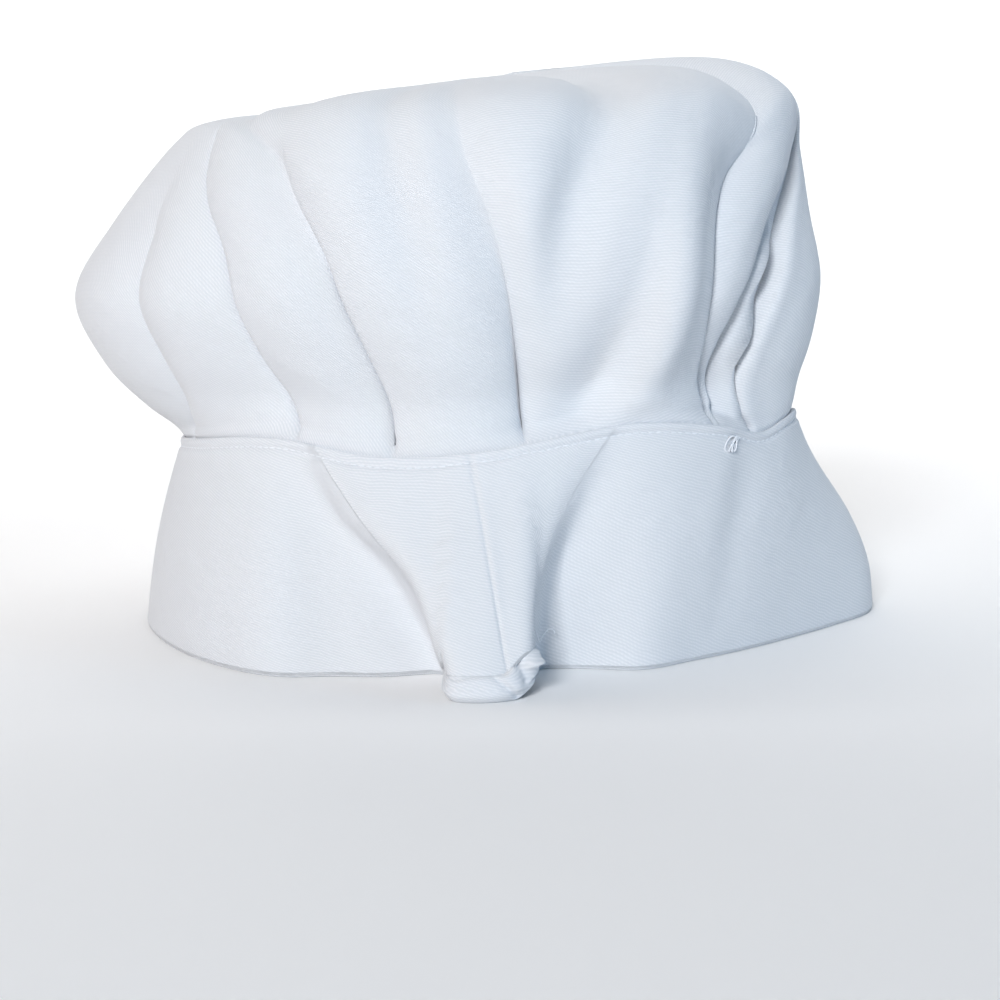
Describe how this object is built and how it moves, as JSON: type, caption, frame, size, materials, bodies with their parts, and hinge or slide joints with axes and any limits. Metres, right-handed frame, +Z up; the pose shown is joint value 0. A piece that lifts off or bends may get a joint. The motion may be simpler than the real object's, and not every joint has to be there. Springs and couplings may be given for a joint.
{
  "type": "chef hat",
  "caption": "Floppy white cloth chef hat with a gathered round crown, a wide band and an elastic casing at the centre back.",
  "frame": {"origin": "on the floor, under the middle of the hat's bounding box", "axes": "+Z up, hem on z = 0; -Y towards the centre back with the elastic casing; +X to the right of someone who looks at the back"},
  "size_m": [0.2607, 0.2234, 0.1799],
  "materials": {
    "crown-cloth": "matte white cotton twill",
    "band-cloth": "matte white cotton twill, two layers",
    "casing-cloth": "matte white cotton twill, puckered over elastic"
  },
  "bodies": {
    "root": {"crown": "crown-cloth", "band": "band-cloth", "back-elastic-casing": "casing-cloth"}
  },
  "joints": []
}
